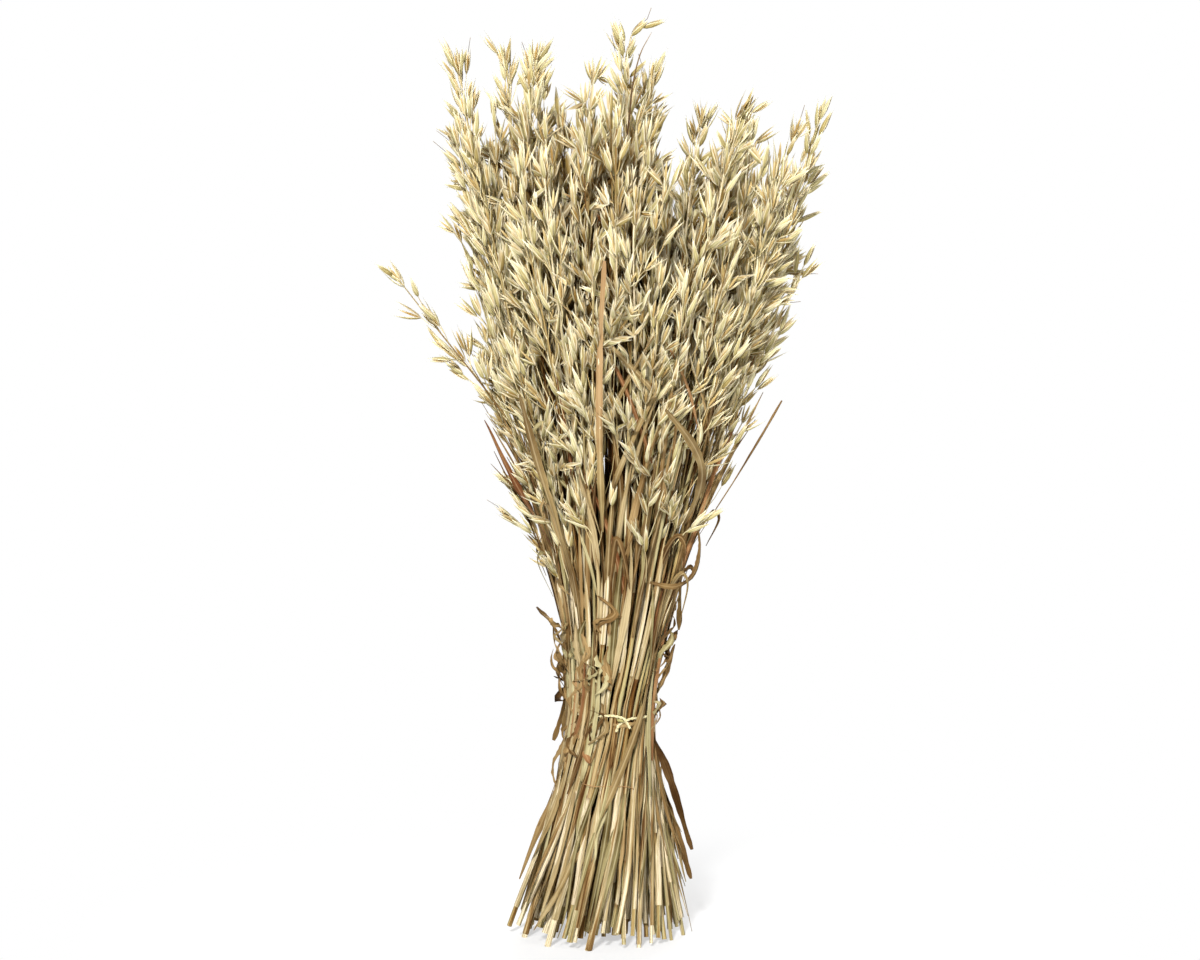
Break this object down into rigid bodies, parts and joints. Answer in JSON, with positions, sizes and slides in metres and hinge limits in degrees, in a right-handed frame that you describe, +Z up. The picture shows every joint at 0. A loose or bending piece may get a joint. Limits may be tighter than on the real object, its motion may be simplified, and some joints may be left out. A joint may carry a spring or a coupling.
{
  "type": "bundle of dried oats",
  "caption": "Tied sheaf of dried oats that stands on its cut stems: a twisted straw waist, loose curled leaves and a wide two-lobed crown of nodding oat heads.",
  "frame": {"origin": "middle of the bundle's bounding box, on the surface that it stands on", "axes": "+Z up along the bundle, -Y towards its front, +X to its right seen from the front"},
  "size_m": [0.3346, 0.2592, 0.702],
  "materials": {
    "oat_straw": "dry matt straw with a slight sheen",
    "tan_leaf": "dry papery leaf, tan",
    "rust_leaf": "dry papery leaf, rusty tan",
    "brown_leaf": "dry papery leaf, brown",
    "twine": "matt plant-fibre twine"
  },
  "bodies": {
    "root": {"back_leaf": "tan_leaf", "back_left_leaf": "rust_leaf", "back_waist_leaf": "brown_leaf", "crossing_right_leaf": "tan_leaf", "cut_right_leaf": "tan_leaf", "dark_right_leaf": "brown_leaf", "hanging_right_leaf": "brown_leaf", "inner_stalk_01": "oat_straw", "inner_stalk_02": "oat_straw", "inner_stalk_03": "oat_straw", "inner_stalk_04": "oat_straw", "inner_stalk_05": "oat_straw", "inner_stalk_06": "oat_straw", "left_foot_leaf": "tan_leaf", "left_scrap_leaf": "brown_leaf", "left_waist_leaf": "brown_leaf", "long_left_leaf": "tan_leaf", "looped_leaf": "brown_leaf", "low_right_leaf": "brown_leaf", "middle_stalk_01": "oat_straw", "middle_stalk_02": "oat_straw", "middle_stalk_03": "oat_straw", "outer_stalk_01": "oat_straw", "outer_stalk_02": "oat_straw", "outer_stalk_03": "oat_straw", "outer_stalk_04": "oat_straw", "outer_stalk_05": "oat_straw", "outer_stalk_06": "oat_straw", "outer_stalk_07": "oat_straw", "outer_stalk_08": "oat_straw", "outer_stalk_09": "oat_straw", "outer_stalk_10": "oat_straw", "right_scrap_leaf": "brown_leaf", "rim_stalk_01": "oat_straw", "rim_stalk_02": "oat_straw", "rim_stalk_03": "oat_straw", "rim_stalk_04": "oat_straw", "rim_stalk_05": "oat_straw", "rim_stalk_06": "oat_straw", "rim_stalk_07": "oat_straw", "rim_stalk_08": "oat_straw", "rim_stalk_09": "oat_straw", "rim_stalk_10": "oat_straw", "rim_stalk_11": "oat_straw", "rim_stalk_12": "oat_straw", "rim_stalk_13": "oat_straw", "rim_stalk_14": "oat_straw", "rim_stalk_15": "oat_straw", "rim_stalk_16": "oat_straw", "rim_stalk_17": "oat_straw", "rim_stalk_18": "oat_straw", "rim_stalk_19": "oat_straw", "rim_stalk_20": "oat_straw", "rim_stalk_21": "oat_straw", "rusty_left_leaf": "rust_leaf", "short_crossing_leaf": "rust_leaf", "tall_front_leaf": "rust_leaf", "tie_crossing_leaf": "tan_leaf", "twine_tie": "twine"}
  },
  "joints": []
}
